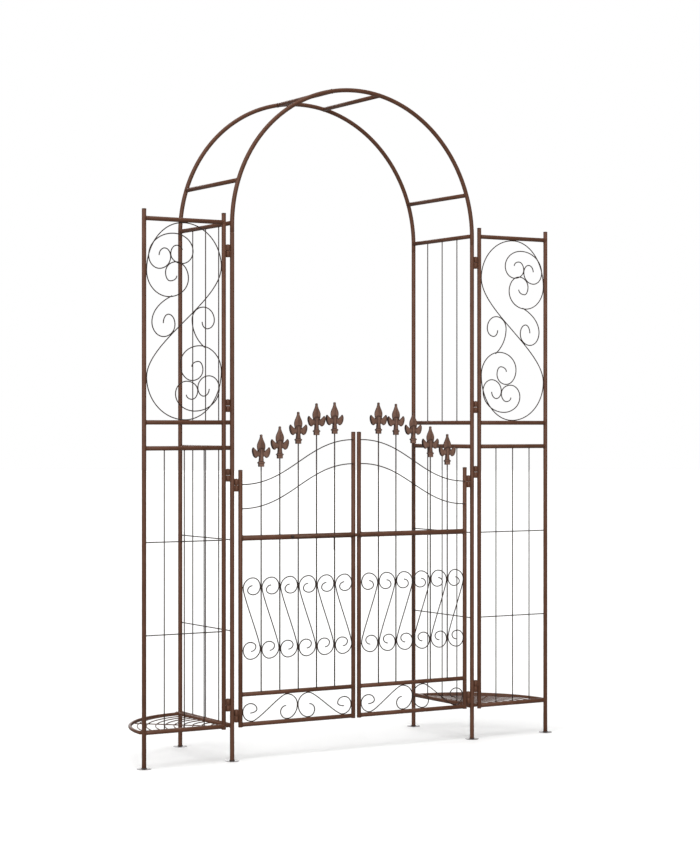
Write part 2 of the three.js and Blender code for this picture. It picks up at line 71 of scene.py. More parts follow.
SIDES = {"left": -1, "right": 1}
TUBE = half_size("left_wing_inner_post").x
HALF = middle("front_right_post").x  # from the middle of the arch to a post's axis
FRONT = middle("front_right_post").y
REAR = middle("rear_right_post").y
DEPTH = REAR - FRONT
POST_TOP = high_of("front_right_post").z
HOOP_TOP = high_of("front_hoop").z - TUBE
SPRING = HOOP_TOP - HALF
WING_OUT = middle("right_wing_outer_post").x - HALF
WING_IN = middle("right_wing_inner_post").x - HALF
WING_TOP = high_of("right_wing_inner_post").z
WING_TAIL = low_of("right_wing_inner_post").z
BOTTOM_RAIL = low_of("left_ladder_lower_screen").z + TUBE
LOWER_MID = high_of("left_ladder_lower_screen").z - TUBE
UPPER_MID = low_of("left_ladder_upper_screen").z + TUBE
TOP_RAIL = high_of("left_ladder_upper_screen").z - TUBE
STILE = HALF - (low_of("right_gate_hinge_stile").x + TUBE)
MEETING = HALF - middle("right_gate_meeting_stile").x
LEAF_LOW = low_of("right_gate_hinge_stile").z
HINGE_TOP = high_of("right_gate_hinge_stile").z
MEETING_TOP = high_of("right_gate_meeting_stile").z
GATE_MID = middle("right_gate_mid_rail").z
GATE_RAIL = half_size("right_gate_mid_rail").z
PANEL_RAIL = low_of("right_gate_picket_screen").z + TUBE
GATE_LOW = low_of("right_gate_bottom_panel").z + TUBE
KNUCKLE_AT = HALF - next(j for j in frame["joints"] if j["name"] == "right_gate_hinge")["pos_m"][0]
PICKETS = [HALF - middle(f"right_gate_spear_{i}").x for i in range(1, 6)]
PICKET_OFF = middle("right_gate_spear_1").y - FRONT
SPEAR_FEET = [low_of(f"right_gate_spear_{i}").z for i in range(1, 6)]
PICKET_STEP = PICKETS[1] - PICKETS[0]
FOOT = half_size("front_left_post").x
BOLT_Y = middle("bolt_keeper_sleeve").y
SLEEVE = half_size("bolt_keeper_sleeve").z

# ---- Sizes of the fine detail ----
PICKET = 2.1 * MM
WIRE = 1.75 * MM
BOLT = 3.5 * MM
RIM = half_size("left_shelf_rim").z
SINK = 1.5 * MM  # how far a bar runs into what it is welded to
PRESS = 0.5 * MM  # how far a wire runs into one that it is welded beside
CROSSING = 2 * WIRE - 0.3 * MM  # between the centre lines of two wires welded across each other
KNUCKLE = 7.1 * MM
KNUCKLE_LENGTH = 20 * MM
KNUCKLE_TAB = 9 * MM
HINGE_PIN = 3 * MM
CROSS_WIRES = (413 * MM, 703 * MM)
FOOT_THICKNESS = 3 * MM
FOOT_WELD = 1.9 * MM
TUBE_SIDES = 28
WIRE_SIDES = 12
WIRE_TIP = 0.6 * MM  # chamfer on the free ends of a scroll
CURL_STEP = 2.5 * MM

# ---- Half widths of the weld beads along X, Y and Z, in millimetres ----
RAIL_BEAD = (2.6, 2.6, 1.5)
CROSSING_BEAD = (2.1, 2.1, 2.1)
SCROLL_BEAD = (2.3, 1.9, 2.3)
TAB_BEAD = (1.7, 1.4, 2.4)
SHELF_END_BEAD = (2.2, 2.2, 2.0)
SHELF_CROSSING_BEAD = (2.2, 2.2, 1.9)
PICKET_BEAD = (3.0, 3.0, 1.5)
ROW_BEAD = (0.7, 1.4, 2.0)
SWEEP_BEAD = (2.3, 2.2, 2.3)
PANEL_BEAD = (2.4, 2.0, 2.4)
SADDLE_BEAD = 1.1  # round the end of a tube

# ---- Scroll shapes: a wing's as shares of half its panel's width and height ----
MAIN_CURL = [
    (1, -0.57), (-0.02, -1), (-1, -0.5), (-0.42, -0.245), (0.11, -0.437),
    (-0.21, -0.6), (-0.5, -0.49), (-0.38, -0.405), (-0.2, -0.46),
]
KIDNEY_CURL = [
    (0.67, 0.66), (0.52, 0.735), (0.365, 0.65), (0.67, 0.527), (0.945, 0.655), (0.28, 0.888),
    (-0.235, 0.714), (0.07, 0.585), (0.36, 0.68), (0.2, 0.768), (0.055, 0.722),
]
LOWER_KIDNEY_CURL = [(-x, -z - 0.023) for x, z in KIDNEY_CURL]
UPPER_SIDE_CURL = [
    (0.335, 0.252), (0.86, -0.015), (0.56, -0.16), (0.25, -0.035), (0.42, 0.067), (0.56, -0.025),
]
LOWER_SIDE_CURL = [
    (-0.54, -0.258), (-0.21, 0.02), (-0.52, 0.15), (-0.81, 0.02), (-0.61, -0.07), (-0.48, 0),
]
SIDE_CURL_SLANT = 0.45  # share of its first quarter turn that a side curl leaves out
# Shares of half a bay's width and of ROW_CURL_HEIGHT
ROW_CURL = [(1, 0.22), (-0.13, -1), (-1, 0.07), (-0.2, 1), (0.48, 0.48), (-0.08, -0.07)]
# Shares of half the panel's width and of its whole height
SMALL_PANEL_CURL = [(0.165, 0), (0, 0.39), (0.135, 0.715), (0.255, 0.475), (0.135, 0.335)]
BIG_PANEL_CURL = [(0.8, 1), (1, 0.55), (0.81, 0), (0.69, 0.29), (0.79, 0.53)]

# ---- Camera, light and floor ----
SENSOR_WIDTH = 36  # millimetres
LENS = 90.37
CAMERA_PLACE = (-3.700, FRONT - 6.023, 1.0645)
CAMERA_TILT = 89.97  # degrees
CAMERA_TURN = -31.4
SKY_LIGHT = 0.16
# Azimuth (0 in front, 90 on the left), elevation and spread in degrees, then power.
SUNS = {
    "front": (27, 15, 35, 1.8),
    "side": (80, 38, 40, 1.3),
    "top": (0, 80, 60, 1.8),
    "back": (200, 20, 40, 0.8),
}
SUN_DISTANCE = 6
FLOOR_REACH = 45.0
FLOOR_STEPS = 96


def put(thing):
    bpy.context.scene.collection.objects.link(thing)


def add_camera():
    data = bpy.data.cameras.new("camera")
    data.sensor_width = SENSOR_WIDTH
    data.lens = LENS
    camera = bpy.data.objects.new("camera", data)
    camera.location = CAMERA_PLACE
    camera.rotation_euler = (math.radians(CAMERA_TILT), 0, math.radians(CAMERA_TURN))
    put(camera)
    bpy.context.scene.camera = camera


def add_sun(name, azimuth, elevation, spread, power):
    """A soft even light from one side."""
    turn, rise = math.radians(azimuth), math.radians(elevation)
    place = Vector((-math.sin(turn) * math.cos(rise), -math.cos(turn) * math.cos(rise), math.sin(rise)))
    data = bpy.data.lights.new(name, "SUN")
    data.energy = power
    data.angle = math.radians(spread)
    light = bpy.data.objects.new(name, data)
    light.location = place * SUN_DISTANCE
    light.rotation_euler = (-place).to_track_quat("-Z", "Y").to_euler()
    put(light)


def add_studio():
    world = bpy.data.worlds.new("studio")
    world.use_nodes = True
    tree = world.node_tree
    seen, lighting = tree.nodes["Background"], tree.nodes.new("ShaderNodeBackground")
    for sky, strength in ((seen, 1.0), (lighting, SKY_LIGHT)):
        sky.inputs["Color"].default_value = (1, 1, 1, 1)
        sky.inputs["Strength"].default_value = strength
    path = tree.nodes.new("ShaderNodeLightPath")
    mix = tree.nodes.new("ShaderNodeMixShader")
    tree.links.new(path.outputs["Is Camera Ray"], mix.inputs["Fac"])
    tree.links.new(lighting.outputs["Background"], mix.inputs[1])
    tree.links.new(seen.outputs["Background"], mix.inputs[2])
    tree.links.new(mix.outputs["Shader"], tree.nodes["World Output"].inputs["Surface"])
    bpy.context.scene.world = world
    bpy.context.scene.view_settings.view_transform = "Standard"
    for name, (azimuth, elevation, spread, power) in SUNS.items():
        add_sun(name, azimuth, elevation, spread, power)


def add_floor():
    turns = [2 * math.pi * i / FLOOR_STEPS for i in range(FLOOR_STEPS)]
    rim = [(FLOOR_REACH * math.cos(turn), FLOOR_REACH * math.sin(turn), 0) for turn in turns]
    mesh = bpy.data.meshes.new("floor")
    mesh.from_pydata(rim, [], [list(range(FLOOR_STEPS))])
    floor = bpy.data.objects.new("floor", mesh)
    put(floor)
    floor.data.materials.append(floor_paper())


# ---- Materials ----


def floor_paper():
    """Pale paper for the camera that throws little light back up on the object."""
    material = bpy.data.materials.new("floor_paper")
    material.use_nodes = True
    nodes, links = material.node_tree.nodes, material.node_tree.links
    pale = nodes["Principled BSDF"]
    pale.inputs["Base Color"].default_value = (0.97, 0.97, 0.966, 1)
    pale.inputs["Roughness"].default_value = 0.85
    dim = nodes.new("ShaderNodeBsdfDiffuse")
    dim.inputs["Color"].default_value = (0.4, 0.4, 0.4, 1)
    either = nodes.new("ShaderNodeMixShader")
    links.new(nodes.new("ShaderNodeLightPath").outputs["Is Camera Ray"], either.inputs["Fac"])
    links.new(dim.outputs["BSDF"], either.inputs[1])
    links.new(pale.outputs["BSDF"], either.inputs[2])
    links.new(either.outputs["Shader"], nodes["Material Output"].inputs["Surface"])
    return material


class Finish:
    """Builds one painted finish out of noise: tone, speckle, roughness and bump."""

    def __init__(self, name, roughness, coat=0.0):
        self.material = bpy.data.materials.new(name)
        self.material.use_nodes = True
        self.tree = self.material.node_tree
        self.shader = self.tree.nodes["Principled BSDF"]
        self.shader.inputs["Roughness"].default_value = roughness
        self.shader.inputs["Specular IOR Level"].default_value = 0.14
        self.shader.inputs["Coat Weight"].default_value = coat
        self.shader.inputs["Coat Roughness"].default_value = 0.25
        self.where = self.node("TexCoord").outputs["Object"]

    def node(self, kind):
        return self.tree.nodes.new("ShaderNode" + kind)

    def link(self, out, into):
        self.tree.links.new(out, into)

    def drive(self, socket, out):
        self.link(out, self.shader.inputs[socket])

    def noise(self, scale, detail, roughness=0.5, stretch=None):
        node = self.node("TexNoise")
        node.inputs["Scale"].default_value = scale
        node.inputs["Detail"].default_value = detail
        node.inputs["Roughness"].default_value = roughness
        source = self.where
        if stretch:
            turn = self.node("Mapping")
            turn.inputs["Scale"].default_value = stretch
            self.link(source, turn.inputs["Vector"])
            source = turn.outputs["Vector"]
        self.link(source, node.inputs["Vector"])
        return node.outputs["Fac"]

    def ramp(self, source, stops):
        node = self.node("ValToRGB")
        ramp = node.color_ramp
        while len(ramp.elements) < len(stops):
            ramp.elements.new(0.5)
        for element, (place, colour) in zip(ramp.elements, stops):
            element.position = place
            element.color = (*colour, 1)
        self.link(source, node.inputs["Fac"])
        return node.outputs["Color"]

    def mix(self, factor, first, second):
        """Blends two colour outputs, or an output and a plain colour."""
        node = self.node("Mix")
        node.data_type = "RGBA"
        self.link(factor, node.inputs["Factor"])
        self.link(first, node.inputs["A"])
        if isinstance(second, tuple):
            node.inputs["B"].default_value = (*second, 1)
        else:
            self.link(second, node.inputs["B"])
        return node.outputs["Result"]

    def spread(self, source, low, high, to_low, to_high):
        node = self.node("MapRange")
        for socket, value in zip(("From Min", "From Max", "To Min", "To Max"), (low, high, to_low, to_high)):
            node.inputs[socket].default_value = value
        self.link(source, node.inputs["Value"])
        return node.outputs["Result"]

    def sideways(self):
        """How far a surface turns away from the piece's own front and back, 0 to 1; the mask of the painted
        shade down a casting's sides.
        """
        parts = self.node("SeparateXYZ")
        self.link(self.node("TexCoord").outputs["Normal"], parts.inputs["Vector"])
        size = self.node("Math")
        size.operation = "ABSOLUTE"
        self.link(parts.outputs["Y"], size.inputs[0])
        return self.spread(size.outputs["Value"], 0.6, 0.965, 1.0, 0.0)

    def hollows(self):
        """Where the surface is dished, 0 to 1; the mask of the painted shade in a casting's hollows."""
        shape = self.node("NewGeometry")
        return self.spread(shape.outputs["Pointiness"], 0.455, 0.5, 1.0, 0.0)

    def bump(self, source, distance, strength, under=None):
        node = self.node("Bump")
        node.inputs["Distance"].default_value = distance
        node.inputs["Strength"].default_value = strength
        self.link(source, node.inputs["Height"])
        if under is not None:
            self.link(under, node.inputs["Normal"])
        return node.outputs["Normal"]


def grey(value):
    return (value, value, value)


def paint(name, dark, mid, light, roughness, speckle, peel, coat=0.04):
    """Powder coat: cloudy tone, fine dark specks, an orange-peel surface and uneven gloss."""
    finish = Finish(name, roughness, coat)
    tone = finish.ramp(finish.noise(22, 4), [(0.25, dark), (0.5, mid), (0.78, light)])
    specks = finish.ramp(finish.noise(1500, 2), [(0.36, grey(1)), (0.46, grey(0))])
    share = finish.spread(specks, 0, 1, 0, speckle)
    finish.drive("Base Color", finish.mix(share, tone, dark))
    gloss = finish.spread(finish.noise(60, 5, 0.6), 0.3, 0.7, roughness - 0.07, roughness + 0.12)
    finish.drive("Roughness", gloss)
    wave = finish.bump(finish.noise(650, 2, 0.4), peel, 0.5)
    finish.drive("Normal", finish.bump(finish.noise(2600, 2), peel * 0.35, 0.4, wave))
    return finish.material


def cast_paint(name, dark, mid, light, painted_shade, roughness):
    """Painted casting: cloudy tone over a rough skin, with painted shade darkening it down its sides and in
    its hollows.
    """
    finish = Finish(name, roughness)
    tone = finish.ramp(finish.noise(45, 5, 0.6), [(0.28, dark), (0.5, mid), (0.72, light)])
    hollow_shaded = finish.mix(finish.hollows(), tone, painted_shade)
    finish.drive("Base Color", finish.mix(finish.sideways(), hollow_shaded, painted_shade))
    gloss = finish.spread(finish.noise(90, 4), 0.3, 0.7, roughness - 0.08, roughness + 0.12)
    finish.drive("Roughness", gloss)
    skin = finish.bump(finish.noise(420, 4, 0.6), 0.0004, 0.6)
    finish.drive("Normal", finish.bump(finish.noise(1700, 3), 0.00012, 0.5, skin))
    return finish.material


def worn_paint(name, dark, mid, light, bare, roughness):
    """Paint rubbed along X down to bright metal in streaks, as on a sliding bolt."""
    finish = Finish(name, roughness, 0.05)
    tone = finish.ramp(finish.noise(40, 4), [(0.25, dark), (0.5, mid), (0.78, light)])
    streaks = finish.noise(260, 6, 0.7, (0.08, 1, 1))
    worn = finish.ramp(streaks, [(0.6, grey(0)), (0.66, grey(1))])
    metal = finish.ramp(finish.noise(900, 2), [(0.3, bare), (0.7, grey(0.42))])
    finish.drive("Base Color", finish.mix(worn, tone, metal))
    finish.drive("Metallic", finish.spread(worn, 0, 1, 0, 0.9))
    finish.drive("Roughness", finish.spread(worn, 0, 1, roughness, 0.3))
    finish.drive("Normal", finish.bump(finish.noise(700, 3), 0.00015, 0.5))
    return finish.material


def make_materials():
    return {
        "tube_paint": paint("brown_powder_coat", (0.086, 0.036, 0.020), (0.104, 0.045, 0.026),
                            (0.126, 0.056, 0.034), 0.42, 0.4, 0.00008),
        "wire_paint": paint("dark_wire_coat", (0.024, 0.015, 0.012), (0.036, 0.023, 0.018),
                            (0.055, 0.036, 0.028), 0.46, 0.4, 0.00008),
        # The casting's last colour is its painted shade, laid down its sides and in its hollows.
        "cast_paint": cast_paint("cast_brown_coat", (0.125, 0.066, 0.047), (0.168, 0.092, 0.065),
                                 (0.215, 0.122, 0.09), (0.022, 0.011, 0.009), 0.5),
        "bolt_paint": worn_paint("rubbed_bolt_paint", (0.06, 0.026, 0.014), (0.088, 0.04, 0.022),
                                 (0.12, 0.058, 0.034), (0.26, 0.2, 0.17), 0.42),
        # Foot plates: a glossier coat, coloured greyer and paler than the tube paint as a painted reflection
        # of the bright sky over their tops.
        "foot_reflection_paint": paint("foot_plate_coat_painted_reflection", (0.045, 0.038, 0.037), (0.07, 0.06, 0.058),
                            (0.1, 0.088, 0.085), 0.3, 0.3, 0.00015, 0.4),
    }


# ---- Mesh building ----
SHARP_ANGLE = 50


class Shell:
    """Vertices and faces of one piece, gathered from swept bars, turned shapes and weld beads."""

    def __init__(self):
        self.vertices = []
        self.faces = []

    def add(self, vertices, faces):
        base = len(self.vertices)
        self.vertices.extend(tuple(v) for v in vertices)
        self.faces.extend([i + base for i in face] for face in faces)

    def rings(self, rings, loop=False):
        """Skins rings of equal length; an open skin gets a flat face at each end."""
        sides = len(rings[0])
        faces = []
        spans = len(rings) if loop else len(rings) - 1
        for i in range(spans):
            here, there = i * sides, ((i + 1) % len(rings)) * sides
            for j in range(sides):
                k = (j + 1) % sides
                faces.append([here + j, here + k, there + k, there + j])
        if not loop:
            faces.append(list(range(sides))[::-1])
            faces.append([(len(rings) - 1) * sides + j for j in range(sides)])
        self.add([v for ring in rings for v in ring], faces)

    def bar(self, points, radius, normal=(0, 1, 0), sides=TUBE_SIDES, loop=False, chamfer=0.5 * MM,
            radii=None):
        """A round bar along a list of points, whose direction is never along the given normal."""
        path = np.array([tuple(p) for p in points], float)
        if loop:
            along = np.roll(path, -1, 0) - np.roll(path, 1, 0)
        else:
            first, last = path[1] - path[0], path[-1] - path[-2]
            chamfer = min(chamfer, 0.4 * radius, 0.4 * np.linalg.norm(first))
            start = path[0] + first / np.linalg.norm(first) * chamfer
            end = path[-1] - last / np.linalg.norm(last) * chamfer
            inner = path[1:-1]
            path = np.vstack([path[:1], [start], inner, [end], path[-1:]])
            along = np.gradient(path, axis=0)
        along /= np.linalg.norm(along, axis=1)[:, None]
        across = np.cross(along, np.array(normal, float))
        across /= np.linalg.norm(across, axis=1)[:, None]
        up = np.cross(across, along)
        sizes = np.full(len(path), radius) if radii is None else np.array(radii, float)
        if not loop:
            if radii is not None:
                sizes = np.concatenate([sizes[:1], sizes[:1], sizes[1:-1], sizes[-1:], sizes[-1:]])
            sizes[0] -= chamfer
            sizes[-1] -= chamfer
        turns = 2 * math.pi * np.arange(sides) / sides
        rings = [p + s * (np.cos(turns)[:, None] * a + np.sin(turns)[:, None] * b)
                 for p, s, a, b in zip(path, sizes, across, up)]
        self.rings(rings, loop)

    def line(self, start, end, radius, sides=TUBE_SIDES, chamfer=0.5 * MM):
        run = Vector(end) - Vector(start)
        normal = (0, 1, 0) if abs(run.y) < 0.7 * run.length else (0, 0, 1)
        self.bar([start, end], radius, normal, sides, chamfer=chamfer)

    def scroll(self, points):
        self.bar(points, WIRE, sides=WIRE_SIDES, chamfer=WIRE_TIP)

    def turned(self, profile, centre, axis="z", sides=32):
        """A lathe shape: profile is (radius, distance along the axis), from end to end."""
        rings = []
        for radius, along in profile:
            ring = []
            for i in range(sides):
                turn = 2 * math.pi * i / sides
                a, b = radius * math.cos(turn), radius * math.sin(turn)
                offset = {"z": (a, b, along), "x": (along, a, b)}[axis]
                ring.append(tuple(c + o for c, o in zip(centre, offset)))
            rings.append(ring)
        self.rings(rings)

    def blob(self, centre, size, seed):
        """A small uneven weld bead, size being its three half widths in millimetres."""
        rings = []
        layers, sides = 6, 8
        for i in range(1, layers):
            tilt = math.pi * i / layers
            ring = []
            for j in range(sides):
                turn = 2 * math.pi * j / sides
                level = math.sin(tilt)
                way = Vector((level * math.cos(turn), level * math.sin(turn), math.cos(tilt)))
                swell = 1 + 0.22 * noise.noise(way * 1.7 + Vector((seed * 3.1, seed * 1.3, 0)))
                ring.append(tuple(c + s * MM * w * swell for c, s, w in zip(centre, size, way)))
            rings.append(ring)
        self.rings(rings[::-1])

    def saddle(self, centre, along, across, bar_radius, post_radius, seed):
        """Fillet weld where a bar meets a round post: a bead on the curve in which they cross.

        along is the bar's direction away from the post, and across the post's own direction."""
        along, across = Vector(along).normalized(), Vector(across).normalized()
        out = along.cross(across)
        bead = SADDLE_BEAD * MM
        steps = 28
        points, radii = [], []
        for i in range(steps):
            turn = 2 * math.pi * i / steps
            side, up = bar_radius * math.cos(turn), bar_radius * math.sin(turn)
            reach = math.sqrt(max(post_radius ** 2 - side ** 2, 0.0)) + 0.15 * bead
            points.append(Vector(centre) + along * reach + out * side + across * up)
            radii.append(bead * (1 + 0.3 * noise.noise(Vector((i * 0.8, seed * 2.3, 0.4)))))
        self.bar(points, bead, along, 8, loop=True, radii=radii)

    def plate(self, centre, size, bevel=0.8 * MM):
        """A flat plate with rounded edges."""
        build = bmesh.new()
        bmesh.ops.create_cube(build, size=1)
        bmesh.ops.scale(build, vec=size, verts=build.verts)
        bmesh.ops.bevel(build, geom=build.edges, offset=bevel, segments=3, affect="EDGES", profile=0.5)
        bmesh.ops.translate(build, vec=Vector(centre), verts=build.verts)
        build.verts.index_update()
        self.add([v.co.copy() for v in build.verts], [[v.index for v in f.verts] for f in build.faces])
        build.free()


def shell_mesh(name, shell):
    mesh = bpy.data.meshes.new(name)
    mesh.from_pydata(shell.vertices, [], shell.faces)
    build = bmesh.new()
    build.from_mesh(mesh)
    bmesh.ops.recalc_face_normals(build, faces=build.faces)
    build.to_mesh(mesh)
    build.free()
    return mesh


def seat(name, mesh, body, node, slot, finish=None):
    """Makes a mesh into an object that rides on a body and stands for a CAD node."""
    mesh.materials.append(MATERIALS[finish or slot])
    thing = bpy.data.objects.new(name, mesh)
    put(thing)
    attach(thing, body)
    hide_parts(node)


def piece(name, shell, body, node, slot="tube_paint", finish=None):
    """Seats a shell, smooth except along its sharp edges."""
    mesh = shell_mesh(name, shell)
    mesh.shade_smooth()
    mesh.set_sharp_from_angle(angle=math.radians(SHARP_ANGLE))
    seat(name, mesh, body, node, slot, finish)


# ---- Scroll lines ----


def curl_line(points, upright, left_out=0.0):
    """Quarter ellipses through the points where a curl runs upright and level in turn.

    The first one can leave out its beginning, so that the line starts at a slant."""
    line = [points[0]]
    start = math.pi / 2 * left_out
    for (x0, z0), (x1, z1) in zip(points, points[1:]):
        steps = max(4, round(1.1 * math.hypot(x1 - x0, z1 - z0) / CURL_STEP))
        for i in range(1, steps + 1):
            turn = start + (math.pi / 2 - start) * i / steps
            along = (math.sin(turn) - math.sin(start)) / (1 - math.sin(start))
            across = 1 - math.cos(turn) / math.cos(start)
            fx, fz = (across, along) if upright else (along, across)
            line.append((x0 + (x1 - x0) * fx, z0 + (z1 - z0) * fz))
        upright = not upright
        start = 0.0
    return line


def ease_line(start, end, direction, reach, steps=40):
    """The bend between two places where the line has the same direction, without its ends."""
    lead = np.array(direction, float) * reach
    a, d = np.array(start, float), np.array(end, float)
    b, c = a + lead, d - lead
    shares = np.linspace(0, 1, steps + 1)[1:-1]
    return [tuple((1 - t) ** 3 * a + 3 * (1 - t) ** 2 * t * b + 3 * (1 - t) * t * t * c + t ** 3 * d)
            for t in shares]


def double_scroll(curl, reach):
    """A curl, the same curl turned half round above it, and the bend between them."""
    tail = curl_line(curl, True)
    head = [(-x, -z) for x, z in tail][::-1]
    return head + ease_line(head[-1], tail[0], (0, -1), reach) + tail


# ---- Posts, hoops and ladders ----


def foot_plate(name, x, y, node):
    """A thin plate, slightly dished at its edge, and the weld round the post above it."""
    plate = Shell()
    top = FOOT_THICKNESS - 1.2 * MM
    plate.turned([(FOOT - 1.6 * MM, 0), (FOOT - 0.3 * MM, 0.2 * MM), (FOOT, 0.6 * MM),
                  (FOOT - 0.1 * MM, 1.0 * MM), (FOOT - 0.9 * MM, 1.3 * MM), (FOOT - 5 * MM, top),
                  (TUBE - 1 * MM, top + 0.2 * MM)], (x, y, 0), sides=64)
    # The plate's greyer, paler finish is a painted reflection.
    piece(f"{name}_plate", plate, "root", node, finish="foot_reflection_paint")
    weld = Shell()
    steps = 40
    turns = [2 * math.pi * i / steps for i in range(steps)]
    ring = [(x + TUBE * math.cos(t), y + TUBE * math.sin(t), top + 0.5 * MM) for t in turns]
    radii = [FOOT_WELD * (1 + 0.2 * noise.noise(Vector((i * 0.7, x * 5, y * 5)))) for i in range(steps)]
    weld.bar(ring, FOOT_WELD, (0, 0, 1), 10, loop=True, radii=radii)
    # The weld ring takes the dark wire paint as painted contact shade at the foot of the post.
    piece(f"{name}_weld", weld, "root", node, finish="wire_paint")


def tube_cap(shell, x, y, z):
    """A low plug that closes the top of a tube."""
    shell.turned([(TUBE - 1.2 * MM, -8 * MM), (TUBE - 1.2 * MM, 0), (TUBE + 0.2 * MM, 0.2 * MM),
                  (TUBE + 0.4 * MM, 0.8 * MM), (TUBE + 0.3 * MM, 1.8 * MM), (TUBE - 1.2 * MM, 2.7 * MM),
                  (TUBE - 3.5 * MM, 3.1 * MM), (0.4 * MM, 3.2 * MM)], (x, y, z))


def add_arch_posts():
    for hand, side in SIDES.items():
        for row, y in (("front", FRONT), ("rear", REAR)):
            node = f"{row}_{hand}_post"
            x = side * HALF
            shell = Shell()
            rise, neck = 1.2 * MM, 0.35 * MM
            shell.turned([(TUBE, FOOT_THICKNESS - 1 * MM), (TUBE, POST_TOP - 2 * rise),
                          (TUBE - neck, POST_TOP - rise), (TUBE - neck, POST_TOP)],
                         (x, y, 0), sides=TUBE_SIDES)
            piece(f"{node}_tube", shell, "root", node)
            foot_plate(f"{row}_{hand}_foot", x, y, node)


def add_hoops():
    steps = 120
    for row, y in (("front", FRONT), ("rear", REAR)):
        foot = POST_TOP + 0.1 * MM
        line = [(HALF, y, foot)]
        for i in range(steps + 1):
            turn = math.pi * i / steps
            line.append((HALF * math.cos(turn), y, SPRING + HALF * math.sin(turn)))
        line.append((-HALF, y, foot))
        shell = Shell()
        shell.bar(line, TUBE)
        piece(f"{row}_hoop_tube", shell, "root", f"{row}_hoop")


def cross_tube(shell, start, end, radius=TUBE, post_way=(0, 0, 1), seed=0):
    """A tube between the centre lines of two posts, cut to run into both and welded round its ends."""
    start, end = Vector(start), Vector(end)
    way = (end - start).normalized()
    near, far = start + way * (TUBE - SINK), end - way * (TUBE - SINK)
    shell.line(near, far, radius, chamfer=0.1 * MM)
    shell.saddle(start, way, post_way, radius, max(TUBE, radius), seed)
    shell.saddle(end, -way, post_way, radius, max(TUBE, radius), seed + 5)


def add_hoop_rungs():
    for hand in SIDES:
        for level in ("low", "high"):
            node = f"{hand}_{level}_hoop_rung"
            place = middle(node)
            hoop_way = Vector((-(place.z - SPRING), 0, place.x))
            front, rear = (place.x, FRONT, place.z), (place.x, REAR, place.z)
            shell = Shell()
            cross_tube(shell, front, rear, post_way=hoop_way, seed=place.x)
            piece(f"{node}_tube", shell, "root", node)


def rails(name, heights, span, place, node, seed):
    shell = Shell()
    for height in heights:
        cross_tube(shell, place(0, 0, height), place(span, 0, height), seed=seed + height)
    piece(name, shell, "root", node)


def screen_wires(name, span, low, high, cross, place, node):
    """Upright wires between two rails, cross wires behind them and a weld where they meet."""
    shell = Shell()
    uprights = [span * i / 4 for i in (1, 2, 3)]
    for along in uprights:
        foot, head = place(along, 0, low + TUBE - SINK), place(along, 0, high - TUBE + SINK)
        shell.line(foot, head, WIRE, WIRE_SIDES)
        for height, way in ((low, 1), (high, -1)):
            shell.blob(place(along, 0, height + way * TUBE), RAIL_BEAD, along * 40 + height)
    for height in cross:
        near, far = place(TUBE - SINK, CROSSING, height), place(span - TUBE + SINK, CROSSING, height)
        shell.line(near, far, WIRE, WIRE_SIDES)
        for along in uprights:
            shell.blob(place(along, CROSSING / 2, height), CROSSING_BEAD, along * 30 + height)
    piece(name, shell, "root", node, "wire_paint")


def add_ladders():
    for hand, side in SIDES.items():
        def place(along, off, z, side=side):
            return (side * (HALF - off), FRONT + along, z)
        name = f"{hand}_ladder"
        upper, lower = f"{name}_upper_screen", f"{name}_lower_screen"
        rails(f"{name}_upper_rails", (UPPER_MID, TOP_RAIL), DEPTH, place, upper, side)
        rails(f"{name}_lower_rails", (BOTTOM_RAIL, LOWER_MID), DEPTH, place, lower, side)
        screen_wires(f"{name}_upper_wires", DEPTH, UPPER_MID, TOP_RAIL, (), place, upper)
        screen_wires(f"{name}_lower_wires", DEPTH, BOTTOM_RAIL, LOWER_MID, CROSS_WIRES, place, lower)


# ---- Wings ----
MAIN_EASE = 111 * MM  # pull of the bend in the middle of the main scroll


def wing_scrolls(hand, side, node):
    span = WING_OUT - WING_IN
    half_width = span / 2 - TUBE - WIRE - 0.1 * MM
    half_height = (TOP_RAIL - UPPER_MID) / 2 - TUBE - WIRE + 0.6 * MM
    across = WING_IN + span / 2
    height = (TOP_RAIL + UPPER_MID) / 2

    def lay(line):
        return [(side * (HALF + across + x), FRONT, height + z) for x, z in line]

    def scaled(curl):
        return [(x * half_width, z * half_height) for x, z in curl]

    def wire(name, line, touches):
        shell = Shell()
        shell.scroll(lay(line))
        for x, z in touches:
            spot = lay([(x * half_width, z * half_height)])[0]
            shell.blob(spot, SCROLL_BEAD, x * 7 + z)
        piece(f"{hand}_wing_{name}", shell, "root", node, "wire_paint")

    main = double_scroll(scaled(MAIN_CURL), MAIN_EASE)
    wire("main_scroll", main, [(-0.02, -1), (0.02, 1)])
    for where, kidney, side_curl, touch in (
        ("upper", KIDNEY_CURL, UPPER_SIDE_CURL, (0.325, -0.125)),
        ("lower", LOWER_KIDNEY_CURL, LOWER_SIDE_CURL, (-0.3, 0.113)),
    ):
        wire(f"{where}_kidney_scroll", curl_line(scaled(kidney), True), [])
        side_line = curl_line(scaled(side_curl), False, SIDE_CURL_SLANT)
        wire(f"{where}_side_curl", side_line, [side_curl[0], touch])


